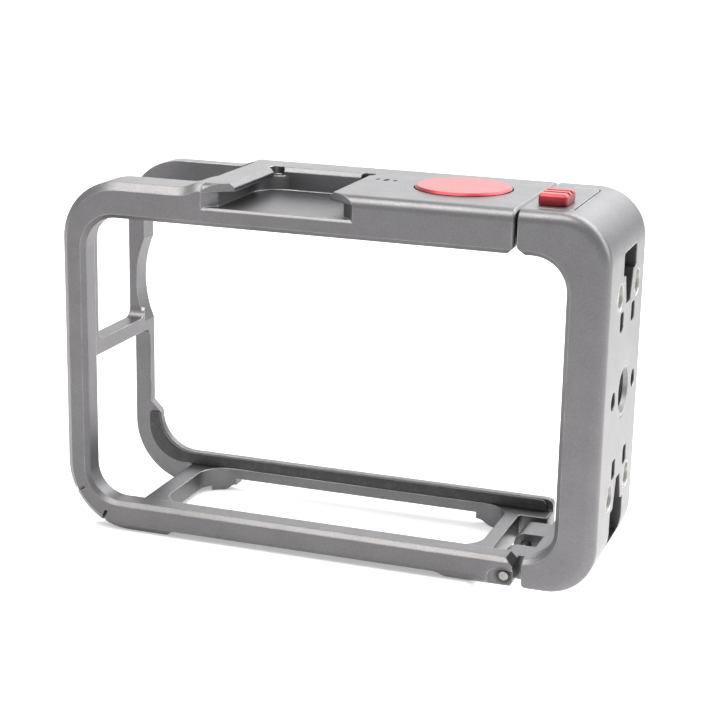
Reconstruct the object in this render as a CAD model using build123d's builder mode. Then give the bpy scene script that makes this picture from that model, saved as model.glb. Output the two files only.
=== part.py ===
from build123d import *
from math import cos, radians, sin, sqrt
import os

os.makedirs("parts", exist_ok=True)

# A cage for a small action camera. X runs along the cage towards the door, Y from the screen side to the
# lens side, Z up. The origin is at the middle of the base.

# ---- overall, mm
cage_width = 80.0
cage_depth = 25.0
cage_height = 53.0
corner_radius = 8.8
lower_corner_radius = 9.8
door_corner_radius = 6.9
edge_chamfer = 1.1
edge_fillet = 1.6
edge_break = 0.35
opening_chamfer = 0.65

# ---- walls round the camera
left_wall = 2.6
door_wall = 4.6
roof_thickness = 5.1
knuckle_radius = 1.8
bay_corner = 5.8
near_lip_depth = 3.3
near_lip_side = 1.15
near_lip_height = 0.9
near_corner = 4.8
far_lip_depth = 1.4
far_lip_height = 1.75
far_lip_rise = 7.6
lens_gap_reach = 24.0

# ---- lens relief in the left post
lens_arc_radius = 16.7
lens_arc_bite = 1.35
lens_drop = 14.9

# ---- open stretches of the frame
upper_near_hoop = 6.3
upper_far_hoop = 3.3
divider_height = 26.0
divider_thickness = 2.2
window_corner = 1.5
roof_dip = 0.85
dip_run = 4.0
near_rail_depth = 5.0
far_ledge = 0.7
strut_offset = 10.2
strut_width = 2.8
strut_lift = 0.8
floor_window_corner = 4.0
crossbar_width = 2.1
foot_offset = 8.5
foot_length = 7.0
foot_ramp = 2.2
underside_relief = 1.0
far_underside_relief = 2.0
boss_length = 7.4
boss_ramp = 3.0
nick_width = 0.55
nick_length = 1.9
nick_depth = 1.4
nick_angles = (208.0, 245.0)

# ---- cold shoe
shoe_centre = -6.8
shoe_channel_width = 18.6
shoe_channel_height = 2.1
shoe_lip_thickness = 1.2
shoe_opening_width = 14.2
shoe_length = 18.1
shoe_flank = 2.4
shoe_corner = 4.2
shoe_lead_in = 1.9
shoe_lip_flare = 2.6
shoe_relief_radius = 1.15
shoe_rim_chamfer = 0.6

# ---- door parting and hinge
hinge_inset = 12.6
hinge_reach = 3.0
parting_gap = 0.4
foot_gap = 1.3
ear_reach = 1.3
ear_corner = 1.2
lip_end_radius = 1.2
parting_notch = 1.2
pin_radius = 0.72
pin_clearance = 0.03
pin_setback = 0.35
pin_end_cover = 0.8
ear_recess_depth = 0.6
ear_recess_reach = 2.4
ear_recess_height = 2.7
near_ear = 4.1
far_ear = 4.9
finger_gap = 0.15
near_finger_width = 3.8
middle_finger_start = 12.8
middle_finger_width = 5.1
door_foot_radius = 1.0
hinge_window_corner = 0.7

# ---- slide lock in the door's top arm
lock_cover_width = 6.7
lock_cover_start = 2.85
lock_cover_length = 17.7
lock_cover_thickness = 1.2
lock_cover_corner = 1.0
cover_seat_gap = 0.2
lock_travel = 2.6
lock_centre = 3.3
button_width = 4.0
button_length = 5.2
button_height = 1.5
button_start = 5.0
button_lift = 0.08
button_corner = 0.5
rib_groove_width = 0.75
rib_groove_depth = 0.4
rib_groove_pitch = 1.6
stem_width = 1.6
stem_length = 2.6
slot_clearance = 0.15
bolt_width = 4.6
bolt_length = 6.4
bolt_thickness = 1.25
bolt_clearance = 0.06
bolt_side_gap = 0.15
tongue_width = 2.2
tongue_thickness = 1.1
tongue_reach = 2.7
barb_thickness = 1.0
barb_catch = 1.6
tongue_wall = 0.6
leaf_space = 1.05
leaf_thickness = 0.25
leaf_width = 3.0
leaf_end = 1.2
leaf_gap = 0.05
keeper_thickness = 1.1
keeper_height = 3.4
keeper_top_skin = 0.7
keeper_margin = 3.1
keeper_clearance = 0.35
catch_depth = 1.5

# ---- small screws
screw_radius = 0.6
screw_head_radius = 1.1
screw_head_height = 0.55
cover_screw_head_height = 0.7
cover_screw_bite = 0.9
cover_screw_inset = 1.6
cover_screw_pitch = 3.6
keeper_screw_bite = 2.2
keeper_screw_inset = 1.35
button_screw_bite = 1.1

# ---- record button
record_offset = 10.9
record_centre_y = 0.65
cap_radius = 6.8
cap_gap = 0.2
cap_thickness = 1.4
cap_proud = 0.4
cap_travel = 0.9
cap_edge = 0.3
plunger_radius = 1.25
plunger_seat = 0.8
plunger_tip_lift = 0.1
bush_clearance = 0.05
bush_wall = 0.6
bush_rise = 0.9
guide_thickness = 0.6
clip_recess_radius = 3.0
clip_recess_depth = 1.3
clip_thickness = 0.4
clip_radius = 2.2
clip_mouth = 1.5
clip_gap = 0.05
groove_depth = 0.35
spring_well_radius = 2.9
spring_radius = 2.4
spring_wire = 0.3
spring_turns = 3.0

# ---- side of the door: thread, locating holes, magnets, quick-release slots
insert_radius = 3.9
thread_minor_radius = 2.6
insert_length = 4.4
insert_chamfer = 0.6
screw_way_radius = 3.3
locating_radius = 1.35
locating_offset = 6.6
locating_depth = 2.6
magnet_radius = 1.9
magnet_thickness = 1.25
magnet_recess = 0.35
magnet_offset_y = 5.6
magnet_offset_z = 14.2
slot_depth = 3.2
slot_mouth_width = 8.6
slot_mouth_start = 16.7
upper_mouth_height = 3.4
lower_mouth_height = 5.4
slot_throat_top = 6.0
slot_throat_bottom = 2.6
slot_throat_length = 4.2
slot_throat_overlap = 1.0
slot_prong_width = 2.4
slot_prong_height = 2.8
slot_prong_spread = 3.7
slot_prong_offset = 10.5
slot_corner = 0.6

# ---- silicone pads
lip_pad_thickness = 0.6
lip_pad_margin = 0.1
lip_pad_end = 0.9
ceiling_pad_length = 20.0
ceiling_pad_width = 11.0
ceiling_pad_thickness = 0.8
ceiling_pad_pocket = 0.5
ceiling_pad_corner = 1.5
door_pad_side_gap = 4.15
door_pad_end_gap = 9.0
door_pad_thickness = 0.9
door_pad_corner = 1.5

def depth_plane(y):
    """The XZ plane at depth y. An extrusion with a positive amount goes towards the screen side."""
    return Plane.XZ.offset(-y)


def middle(low, high):
    return (low + high) / 2


# ---- planes that follow from the sizes above
left = -cage_width / 2
right = cage_width / 2
near = -cage_depth / 2
far = cage_depth / 2
past = 1.0
floor_top = 2 * knuckle_radius
ceiling = cage_height - roof_thickness
bay_left = left + left_wall
bay_right = right - door_wall
bay_width = bay_right - bay_left
bay_height = ceiling - floor_top
bay_middle = ((bay_left + bay_right) / 2, (floor_top + ceiling) / 2)
near_lip_back = near + near_lip_depth
near_open_width = bay_width - 2 * near_lip_side
near_open_height = bay_height - 2 * near_lip_height
far_lip_face = far - far_lip_depth
far_open_width = bay_width - 2 * far_lip_height
far_open_height = bay_height - 2 * far_lip_height
far_open_corner = bay_corner
lip_end_height = floor_top + far_lip_rise

hinge_x = right - hinge_inset
hinge_z = knuckle_radius
ear_end = hinge_x + ear_reach
door_foot_start = ear_end + foot_gap
crossbar_right = hinge_x - hinge_reach
crossbar_left = crossbar_right - crossbar_width
arm_end = hinge_x
frame_end = arm_end - parting_gap
parting_middle = (arm_end + frame_end) / 2
hinge_near = near + near_ear
hinge_far = far - far_ear

shoe_left = shoe_centre - shoe_channel_width / 2
shoe_right = shoe_centre + shoe_channel_width / 2
shoe_back = near + shoe_length
shoe_lip_base = cage_height - shoe_lip_thickness
shoe_floor = shoe_lip_base - shoe_channel_height
block_left = shoe_left - shoe_flank
seam_x = shoe_left - shoe_lead_in

side_middle_y = middle(near_lip_back, far_lip_face)
side_centre_height = cage_height / 2

divider_top = divider_height + divider_thickness / 2
divider_bottom = divider_height - divider_thickness / 2
upper_window_near = near + upper_near_hoop
upper_window_far = far - upper_far_hoop
strut_left = left + strut_offset
strut_right = strut_left + strut_width
floor_window_near = near + near_rail_depth
floor_window_far = far_lip_face - far_ledge
foot_left = left + foot_offset
foot_right = foot_left + foot_length
boss_left = hinge_x - boss_length

record_x = frame_end - record_offset
cap_bottom = cage_height + cap_proud - cap_thickness
well_top = cap_bottom - cap_travel - 2 * clip_gap
clip_recess_top = ceiling + clip_recess_depth
well_floor = clip_recess_top + guide_thickness

cover_near = near + lock_cover_start
cover_far = cover_near + lock_cover_length
cover_right = arm_end + lock_cover_width
cover_base = cage_height - lock_cover_thickness
lock_x = arm_end + lock_centre
button_near = near + button_start
button_middle = button_near + button_length / 2
bolt_top = cover_base - bolt_clearance
bolt_base = bolt_top - bolt_thickness
bolt_near = button_middle - bolt_length / 2
bolt_far = button_middle + bolt_length / 2
bolt_left = lock_x - bolt_width / 2
bolt_right = lock_x + bolt_width / 2
pocket_near = bolt_near - bolt_side_gap
pocket_far = bolt_far + lock_travel + bolt_side_gap
pocket_floor = bolt_base - leaf_space
tongue_near = button_middle - tongue_width / 2
tongue_far = button_middle + tongue_width / 2
tongue_tip = arm_end - tongue_reach
tongue_base = bolt_top - tongue_thickness
barb_far = tongue_far + barb_catch
keeper_face = frame_end - keeper_thickness
keeper_top = cage_height - keeper_top_skin
keeper_base = keeper_top - keeper_height
keeper_open_near = tongue_near - keeper_clearance
keeper_open_far = barb_far + catch_depth
keeper_near = keeper_open_near - keeper_margin
keeper_far = keeper_open_far + keeper_margin
keeper_open_top = bolt_top + keeper_clearance * 0.8
keeper_open_base = tongue_base - keeper_clearance
keeper_middle_z = (keeper_open_top + keeper_open_base) / 2
cavity_far = barb_far + lock_travel + keeper_clearance


# ---- spaces shared by the frame and the door

with BuildPart() as camera_space:
    with BuildSketch(depth_plane(far_lip_face)):
        with Locations(bay_middle):
            RectangleRounded(bay_width, bay_height, bay_corner)
    extrude(amount=far_lip_face - near_lip_back)
    with BuildSketch(depth_plane(near_lip_back)):
        with Locations(bay_middle):
            RectangleRounded(near_open_width, near_open_height, near_corner)
    extrude(amount=near_lip_depth + past)
    with BuildSketch(depth_plane(near)):
        with Locations(bay_middle):
            RectangleRounded(
                near_open_width + 2 * opening_chamfer,
                near_open_height + 2 * opening_chamfer,
                near_corner + opening_chamfer,
            )
    extrude(amount=-opening_chamfer, taper=45)
    with BuildSketch(depth_plane(far + past)):
        with Locations(bay_middle):
            RectangleRounded(far_open_width, far_open_height, far_open_corner)
    extrude(amount=far_lip_depth + past)
    with BuildSketch(depth_plane(far)):
        with Locations(bay_middle):
            RectangleRounded(
                far_open_width + 2 * edge_break, far_open_height + 2 * edge_break, far_open_corner + edge_break
            )
    extrude(amount=edge_break, taper=45)

# The lens side has no lip beside and above the lens.
with BuildPart() as lens_gap:
    with BuildSketch(depth_plane(far + past)):
        with BuildLine():
            Polyline(
                (bay_left, ceiling - bay_corner),
                (bay_left, lip_end_height + far_lip_height),
                (bay_left + far_lip_height, lip_end_height),
                (bay_left + lens_gap_reach, lip_end_height),
                (bay_left + lens_gap_reach, ceiling),
                (bay_left + bay_corner, ceiling),
            )
            RadiusArc((bay_left + bay_corner, ceiling), (bay_left, ceiling - bay_corner), -bay_corner)
        make_face()
        with Locations((bay_left - lens_arc_bite + lens_arc_radius, ceiling - lens_drop)):
            Circle(lens_arc_radius)
    extrude(amount=upper_far_hoop + past)

with BuildPart() as parting_relief:
    with BuildSketch(depth_plane(far + past)):
        with Locations((parting_middle, ceiling - near_lip_height)):
            Rectangle(parting_notch * sqrt(2), parting_notch * sqrt(2), rotation=45)
    extrude(amount=cage_depth + 2 * past)

# ---- blanks of the frame: a crisp chamfered left end and a softly rounded run

with BuildPart() as left_end:
    with BuildSketch(Plane.XZ):
        with BuildLine():
            dip_level = cage_height - roof_dip
            Line((seam_x, 0), (left + lower_corner_radius, 0))
            RadiusArc((left + lower_corner_radius, 0), (left, lower_corner_radius), lower_corner_radius)
            Line((left, lower_corner_radius), (left, dip_level - corner_radius))
            RadiusArc((left, dip_level - corner_radius), (left + corner_radius, dip_level), corner_radius)
            Line((left + corner_radius, dip_level), (seam_x - dip_run, dip_level))
            Bezier(
                (seam_x - dip_run, dip_level),
                (seam_x - dip_run / 2, dip_level),
                (seam_x - dip_run / 2, cage_height),
                (seam_x, cage_height),
            )
            Line((seam_x, cage_height), (seam_x, 0))
        make_face()
    extrude(amount=cage_depth / 2, both=True)
    end_faces = left_end.faces().filter_by(Axis.Y)
    rim = end_faces.edges().filter_by(lambda edge: edge.center().X < seam_x - edge_break)
    chamfer(rim, edge_chamfer)

with BuildPart() as long_run:
    with BuildSketch(Plane.YZ.offset(seam_x)):
        with Locations((0, cage_height / 2)):
            RectangleRounded(cage_depth, cage_height, edge_fillet)
    extrude(amount=ear_end - seam_x)

# ---- frame

with BuildPart() as main_frame:
    add(left_end.part)
    add(long_run.part)
    add(camera_space.part, mode=Mode.SUBTRACT)
    add(lens_gap.part, mode=Mode.SUBTRACT)

    # The top of the end at the parting, above the hinge ears.
    with BuildSketch(Plane.XY.offset(cage_height / 2)):
        with Locations((middle(frame_end, ear_end + past), 0)):
            Rectangle(ear_end + past - frame_end, cage_depth + 2 * past)
    extrude(amount=cage_height / 2 + past, mode=Mode.SUBTRACT)
    end_rim = main_frame.edges().filter_by(
        lambda edge: abs(edge.center().X - frame_end) < edge_break and edge.center().Z > ceiling + edge_break
    )
    chamfer(end_rim, edge_break)
    add(parting_relief.part, mode=Mode.SUBTRACT)

    # Upper left window, open round the corner into the roof.
    upper_width = upper_window_far - upper_window_near
    with BuildSketch(Plane.YZ.offset(left - past)):
        with Locations((middle(upper_window_near, upper_window_far), divider_top)):
            RectangleRounded(
                upper_width, 2 * cage_height, window_corner, align=(Align.CENTER, Align.MIN)
            )
    extrude(amount=past + left_wall + bay_corner, mode=Mode.SUBTRACT)
    with BuildSketch(Plane.XY.offset(ceiling - bay_corner)):
        with Locations((block_left, middle(upper_window_near, upper_window_far))):
            RectangleRounded(
                cage_width, upper_width, window_corner, align=(Align.MAX, Align.CENTER)
            )
    extrude(amount=cage_height, mode=Mode.SUBTRACT)

    # Lower left window, open round the corner into the floor.
    lower_width = far_lip_face - near_lip_back
    with BuildSketch(Plane.YZ.offset(left - past)):
        with Locations((middle(near_lip_back, far_lip_face), divider_bottom)):
            RectangleRounded(
                lower_width, 2 * cage_height, window_corner, align=(Align.CENTER, Align.MAX)
            )
    extrude(amount=past + left_wall + bay_corner, mode=Mode.SUBTRACT)
    with BuildSketch(Plane.XY.offset(-past)):
        with Locations((strut_left, middle(near_lip_back, far_lip_face))):
            RectangleRounded(
                cage_width, lower_width, window_corner, align=(Align.MAX, Align.CENTER)
            )
    extrude(amount=past + floor_top + bay_corner, mode=Mode.SUBTRACT)

    # Main opening of the floor, and the window that the door's fingers swing in.
    with BuildSketch(Plane.XY.offset(-past)):
        with Locations((middle(strut_right, crossbar_left), middle(floor_window_near, floor_window_far))):
            RectangleRounded(
                crossbar_left - strut_right, floor_window_far - floor_window_near, floor_window_corner
            )
        with Locations((crossbar_right, middle(hinge_near, hinge_far))):
            RectangleRounded(
                cage_width, hinge_far - hinge_near, hinge_window_corner, align=(Align.MIN, Align.CENTER)
            )
    extrude(amount=past + floor_top + past, mode=Mode.SUBTRACT)

    # Underside: raised between the foot and the hinge boss, more so on the lens side.
    with BuildSketch(depth_plane(far + past)):
        with BuildLine():
            Line((foot_right, -past), (foot_right, 0))
            Bezier(
                (foot_right, 0),
                (foot_right + foot_ramp / 2, 0),
                (foot_right + foot_ramp / 2, underside_relief),
                (foot_right + foot_ramp, underside_relief),
            )
            Line((foot_right + foot_ramp, underside_relief), (boss_left - boss_ramp, underside_relief))
            Bezier(
                (boss_left - boss_ramp, underside_relief),
                (boss_left - boss_ramp / 2, underside_relief),
                (boss_left - boss_ramp / 2, 0),
                (boss_left, 0),
            )
            Polyline((boss_left, 0), (boss_left, -past), (foot_right, -past))
        make_face()
    extrude(amount=cage_depth + 2 * past, mode=Mode.SUBTRACT)
    with BuildSketch(depth_plane(far + past)):
        with Locations((foot_right + foot_ramp, 0)):
            Rectangle(
                boss_left - boss_ramp - foot_right - foot_ramp,
                far_underside_relief,
                align=(Align.MIN, Align.MIN),
            )
    extrude(amount=past + far - floor_window_far + past, mode=Mode.SUBTRACT)
    with BuildSketch(Plane.XY.offset(-past)):
        with Locations((middle(strut_left, strut_right), middle(near_lip_back, far_lip_face))):
            Rectangle(strut_width + 2 * past, lower_width)
    extrude(amount=past + strut_lift, mode=Mode.SUBTRACT)

    # Hinge ears: rounded under the pin, chamfered above it.
    with BuildSketch(depth_plane(far + past)):
        with Locations((ear_end, 0)):
            Rectangle(ear_corner, ear_corner, align=(Align.MAX, Align.MIN))
        with Locations((ear_end - ear_corner, ear_corner)):
            Circle(ear_corner, mode=Mode.SUBTRACT)
    extrude(amount=cage_depth + 2 * past, mode=Mode.SUBTRACT)
    with BuildSketch(depth_plane(far_lip_face)):
        with BuildLine():
            Polyline(
                (ear_end + past, floor_top + near_lip_height + past),
                (ear_end - edge_chamfer - past, floor_top + near_lip_height + past),
                (ear_end - edge_chamfer, floor_top + near_lip_height),
                (ear_end, floor_top + near_lip_height - edge_chamfer),
                (ear_end + past, floor_top + near_lip_height - edge_chamfer),
                close=True,
            )
        make_face()
    extrude(amount=far_lip_face - near + past, mode=Mode.SUBTRACT)
    lip_top = floor_top + far_lip_height
    with BuildSketch(depth_plane(far + past)):
        with Locations((ear_end, lip_top - lip_end_radius)):
            Rectangle(lip_end_radius, lip_end_radius + past, align=(Align.MAX, Align.MIN))
        with Locations((ear_end - lip_end_radius, lip_top - lip_end_radius)):
            Circle(lip_end_radius, mode=Mode.SUBTRACT)
    extrude(amount=past + far_lip_depth, mode=Mode.SUBTRACT)
    with BuildSketch(depth_plane(near + ear_recess_depth)):
        with Locations((hinge_x - ear_recess_reach, -past)):
            RectangleRounded(
                2 * cage_height,
                ear_recess_height + past,
                ear_recess_height / 2,
                align=(Align.MIN, Align.MIN),
            )
    extrude(amount=ear_recess_depth + past, mode=Mode.SUBTRACT)
    with BuildSketch(depth_plane(far - pin_end_cover)):
        with Locations((hinge_x, hinge_z)):
            Circle(pin_radius)
    extrude(amount=cage_depth, mode=Mode.SUBTRACT)

    # Cold shoe: channel, slot between the lips, lead-in and corner reliefs.
    with BuildSketch(Plane.XY.offset(shoe_floor)):
        with Locations((shoe_centre, shoe_back)):
            RectangleRounded(
                shoe_channel_width,
                shoe_length + 2 * shoe_corner,
                shoe_corner,
                align=(Align.CENTER, Align.MAX),
            )
    extrude(amount=shoe_channel_height, mode=Mode.SUBTRACT)
    with BuildSketch(Plane.XY.offset(shoe_lip_base)):
        with Locations((shoe_centre, shoe_back)):
            Rectangle(shoe_opening_width, 2 * shoe_length, align=(Align.CENTER, Align.MAX))
        with Locations(
            (shoe_centre - shoe_opening_width / 2, shoe_back),
            (shoe_centre + shoe_opening_width / 2, shoe_back),
        ):
            Circle(shoe_relief_radius)
    extrude(amount=shoe_lip_thickness + past, mode=Mode.SUBTRACT)
    for bottom, top, reach, inner_width in (
        (shoe_floor, shoe_lip_base, shoe_lead_in, shoe_channel_width),
        (shoe_lip_base, cage_height + past, shoe_lip_flare, shoe_opening_width),
    ):
        with BuildSketch(Plane.XY.offset(bottom)):
            with BuildLine():
                Polyline(
                    (shoe_centre - inner_width / 2, near + reach),
                    (shoe_left - shoe_lead_in, near),
                    (shoe_left - shoe_lead_in, near - past),
                    (shoe_right + shoe_lead_in, near - past),
                    (shoe_right + shoe_lead_in, near),
                    (shoe_centre + inner_width / 2, near + reach),
                    close=True,
                )
            make_face()
        extrude(amount=top - bottom, mode=Mode.SUBTRACT)
    with BuildSketch(Plane.XY.offset(cage_height)):
        with Locations((shoe_centre, shoe_back + shoe_rim_chamfer)):
            Rectangle(
                shoe_opening_width + 2 * shoe_rim_chamfer, 2 * shoe_length, align=(Align.CENTER, Align.MAX)
            )
    extrude(amount=-shoe_rim_chamfer, taper=45, mode=Mode.SUBTRACT)
    sill = main_frame.edges().filter_by(
        lambda edge: abs(edge.center().Y - near) < clip_gap and abs(edge.center().Z - shoe_floor) < clip_gap
    )
    chamfer(sill, edge_break)

    # Record button: seat of the cap, spring well, guide and clip recess.
    for bottom, top, radius in (
        (well_top, cage_height + past, cap_radius + cap_gap),
        (well_floor, well_top, spring_well_radius),
        (clip_recess_top, well_floor, plunger_radius + bush_clearance + bush_wall),
        (ceiling - past, clip_recess_top, clip_recess_radius),
    ):
        with BuildSketch(Plane.XY.offset(bottom)):
            with Locations((record_x, record_centre_y)):
                Circle(radius)
        extrude(amount=top - bottom, mode=Mode.SUBTRACT)

    # Pocket of the silicone pad under the shoe.
    with BuildSketch(Plane.XY.offset(ceiling - past)):
        with Locations((shoe_centre, side_middle_y)):
            RectangleRounded(ceiling_pad_length, ceiling_pad_width, ceiling_pad_corner)
    extrude(amount=past + ceiling_pad_pocket, mode=Mode.SUBTRACT)

    # Seat of the keeper plate, with the cavity behind it and the screw holes.
    with BuildSketch(Plane.YZ.offset(keeper_face)):
        with Locations((middle(keeper_near, keeper_far), middle(keeper_base, keeper_top))):
            Rectangle(keeper_far - keeper_near, keeper_height)
    extrude(amount=keeper_thickness + past, mode=Mode.SUBTRACT)
    with BuildSketch(Plane.YZ.offset(tongue_tip - keeper_clearance)):
        with Locations((middle(keeper_open_near, cavity_far), keeper_middle_z)):
            Rectangle(cavity_far - keeper_open_near, keeper_open_top - keeper_open_base)
    extrude(amount=keeper_face - tongue_tip + keeper_clearance, mode=Mode.SUBTRACT)
    with BuildSketch(Plane.YZ.offset(keeper_face - keeper_screw_bite)):
        with Locations(
            (keeper_near + keeper_screw_inset, keeper_middle_z),
            (keeper_far - keeper_screw_inset, keeper_middle_z),
        ):
            Circle(screw_radius)
    extrude(amount=keeper_screw_bite, mode=Mode.SUBTRACT)

    # Two short nicks across the lower left corner.
    for angle in nick_angles:
        corner_direction = (cos(radians(angle)), sin(radians(angle)))
        nick_centre = lower_corner_radius - nick_length / 2
        with BuildSketch(depth_plane(near + nick_depth)):
            with Locations(
                (
                    left + lower_corner_radius + nick_centre * corner_direction[0],
                    lower_corner_radius + nick_centre * corner_direction[1],
                )
            ):
                Rectangle(nick_length + nick_width, nick_width, rotation=angle)
        extrude(amount=nick_depth + past, mode=Mode.SUBTRACT)

main_frame.part.label = "main_frame"
export_step(main_frame.part, "parts/main_frame.step")

# ---- door

with BuildPart() as side_door:
    with BuildSketch(Plane.XZ):
        with Locations((right, cage_height / 2)):
            RectangleRounded(
                2 * door_corner_radius + hinge_inset,
                cage_height,
                door_corner_radius,
                align=(Align.MAX, Align.CENTER),
            )
    extrude(amount=cage_depth / 2, both=True)
    fillet(side_door.faces().filter_by(Axis.Y).edges(), edge_fillet)
    with BuildSketch(Plane.YZ.offset(arm_end)):
        Rectangle(2 * cage_depth, 3 * cage_height)
    extrude(amount=-cage_width, mode=Mode.SUBTRACT)
    add(camera_space.part, mode=Mode.SUBTRACT)
    add(parting_relief.part, mode=Mode.SUBTRACT)

    # The foot starts beyond the hinge ears and is rounded at its lower corner.
    with BuildSketch(depth_plane(far + past)):
        with Locations((door_foot_start, 0)):
            Rectangle(cage_width, cage_height, align=(Align.MAX, Align.CENTER))
        with Locations((door_foot_start, 0)):
            Rectangle(door_foot_radius, door_foot_radius, align=(Align.MIN, Align.MIN))
        with Locations((door_foot_start + door_foot_radius, door_foot_radius)):
            Circle(door_foot_radius, mode=Mode.SUBTRACT)
    extrude(amount=cage_depth + 2 * past, mode=Mode.SUBTRACT)

    # Fingers round the hinge pin.
    near_finger_start = hinge_near + finger_gap
    middle_finger_near = near + middle_finger_start
    for start, width in (
        (near_finger_start, near_finger_width),
        (middle_finger_near, middle_finger_width),
    ):
        with BuildSketch(depth_plane(start + width)):
            with Locations((hinge_x, hinge_z)):
                Circle(knuckle_radius)
                Rectangle(
                    door_foot_start + door_foot_radius - hinge_x,
                    2 * knuckle_radius,
                    align=(Align.MIN, Align.CENTER),
                )
        extrude(amount=width)
    with BuildSketch(depth_plane(far)):
        with Locations((hinge_x, hinge_z)):
            Circle(pin_radius + pin_clearance)
    extrude(amount=cage_depth, mode=Mode.SUBTRACT)

    # Lock: recess of the cover, pocket of the bolt, way out for its tongue.
    with BuildSketch(Plane.XY.offset(cover_base)):
        with Locations((cover_right, middle(cover_near, cover_far))):
            RectangleRounded(
                2 * lock_cover_width, lock_cover_length, lock_cover_corner, align=(Align.MAX, Align.CENTER)
            )
    extrude(amount=lock_cover_thickness + past, mode=Mode.SUBTRACT)
    with BuildSketch(Plane.XY.offset(pocket_floor)):
        with Locations((lock_x, middle(pocket_near, pocket_far))):
            Rectangle(bolt_width + 2 * bolt_side_gap, pocket_far - pocket_near)
    extrude(amount=cover_base - pocket_floor, mode=Mode.SUBTRACT)
    tongue_way_near = tongue_near - bolt_side_gap
    tongue_way_far = tongue_far + lock_travel + bolt_side_gap
    with BuildSketch(Plane.XY.offset(tongue_base - bolt_side_gap)):
        with Locations((lock_x, middle(tongue_way_near, tongue_way_far))):
            Rectangle(
                lock_x - arm_end + past, tongue_way_far - tongue_way_near, align=(Align.MAX, Align.CENTER)
            )
    extrude(amount=cover_base - tongue_base + bolt_side_gap, mode=Mode.SUBTRACT)
    cover_screw_spots = [
        (lock_x, cover_far - cover_screw_inset),
        (lock_x, cover_far - cover_screw_inset - cover_screw_pitch),
    ]
    with BuildSketch(Plane.XY.offset(ceiling - past)):
        with Locations(*cover_screw_spots):
            Circle(screw_head_radius)
    extrude(amount=past + cover_screw_head_height, mode=Mode.SUBTRACT)
    with BuildSketch(Plane.XY.offset(ceiling)):
        with Locations(*cover_screw_spots):
            Circle(screw_radius)
    extrude(amount=roof_thickness, mode=Mode.SUBTRACT)

    # Side: insert, locating holes, magnets and the two quick-release slots.
    with BuildSketch(Plane.YZ.offset(right - insert_length)):
        with Locations((side_middle_y, side_centre_height)):
            Circle(insert_radius)
    extrude(amount=insert_length + past, mode=Mode.SUBTRACT)
    with BuildSketch(Plane.YZ.offset(bay_right - past)):
        with Locations((side_middle_y, side_centre_height)):
            Circle(screw_way_radius)
    extrude(amount=door_wall, mode=Mode.SUBTRACT)
    with BuildSketch(Plane.YZ.offset(right - locating_depth)):
        with Locations((side_middle_y, side_centre_height)):
            with GridLocations(2 * locating_offset, 1, 2, 1):
                Circle(locating_radius)
    extrude(amount=locating_depth + past, mode=Mode.SUBTRACT)
    with BuildSketch(Plane.YZ.offset(right - magnet_recess - magnet_thickness)):
        with Locations((side_middle_y, side_centre_height)):
            with GridLocations(2 * magnet_offset_y, 2 * magnet_offset_z, 2, 2):
                Circle(magnet_radius)
    extrude(amount=magnet_thickness + magnet_recess + past, mode=Mode.SUBTRACT)
    with BuildSketch(Plane.YZ.offset(right - slot_depth)):
        for way, mouth_height in ((-1, lower_mouth_height), (1, upper_mouth_height)):
            mouth_middle = side_centre_height + way * (slot_mouth_start + mouth_height / 2)
            with Locations((side_middle_y, mouth_middle)):
                RectangleRounded(slot_mouth_width, mouth_height, slot_corner)
            throat_start = side_centre_height + way * (slot_mouth_start + slot_throat_overlap)
            throat_end = side_centre_height + way * (slot_mouth_start - slot_throat_length)
            with BuildLine():
                Polyline(
                    (side_middle_y - slot_throat_top / 2, throat_start),
                    (side_middle_y + slot_throat_top / 2, throat_start),
                    (side_middle_y + slot_throat_bottom / 2, throat_end),
                    (side_middle_y - slot_throat_bottom / 2, throat_end),
                    close=True,
                )
            make_face()
            with Locations((side_middle_y, side_centre_height + way * slot_prong_offset)):
                with GridLocations(2 * slot_prong_spread, 1, 2, 1):
                    RectangleRounded(slot_prong_width, slot_prong_height, slot_corner)
    extrude(amount=slot_depth + past, mode=Mode.SUBTRACT)

side_door.part.label = "side_door"
export_step(side_door.part, "parts/side_door.step")

# ---- hinge pin

with BuildPart() as hinge_pin:
    pin_near = near + ear_recess_depth - pin_setback
    pin_far = far - pin_end_cover
    with BuildSketch(depth_plane(pin_far)):
        with Locations((hinge_x, hinge_z)):
            Circle(pin_radius)
    extrude(amount=pin_far - pin_near)
    chamfer(hinge_pin.faces().sort_by(Axis.Y)[0].edges(), pin_clearance * 4)

hinge_pin.part.label = "hinge_pin"
export_step(hinge_pin.part, "parts/hinge_pin.step")

# ---- lock

with BuildPart() as lock_cover:
    with BuildSketch(Plane.XY.offset(cover_base)):
        with Locations((cover_right - cover_seat_gap, middle(cover_near, cover_far))):
            RectangleRounded(
                2 * lock_cover_width,
                lock_cover_length - 2 * cover_seat_gap,
                lock_cover_corner,
                align=(Align.MAX, Align.CENTER),
            )
        with Locations((arm_end, 0)):
            Rectangle(cage_width, cage_depth, align=(Align.MAX, Align.CENTER), mode=Mode.SUBTRACT)
        slot_near = button_middle - stem_length / 2 - slot_clearance
        slot_far = button_middle + stem_length / 2 + lock_travel + slot_clearance
        with Locations((lock_x, middle(slot_near, slot_far))):
            Rectangle(stem_width + 2 * slot_clearance, slot_far - slot_near, mode=Mode.SUBTRACT)
    extrude(amount=lock_cover_thickness)
    with BuildSketch(Plane.XZ):
        with Locations((right, cage_height / 2)):
            RectangleRounded(
                2 * door_corner_radius + hinge_inset,
                cage_height,
                door_corner_radius,
                align=(Align.MAX, Align.CENTER),
            )
    extrude(amount=cage_depth / 2, both=True, mode=Mode.INTERSECT)
    with BuildSketch(Plane.XY.offset(cover_base)):
        with Locations(*cover_screw_spots):
            Circle(screw_radius)
    extrude(amount=cover_screw_bite, mode=Mode.SUBTRACT)

lock_cover.part.label = "lock_cover"
export_step(lock_cover.part, "parts/lock_cover.step")

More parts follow.
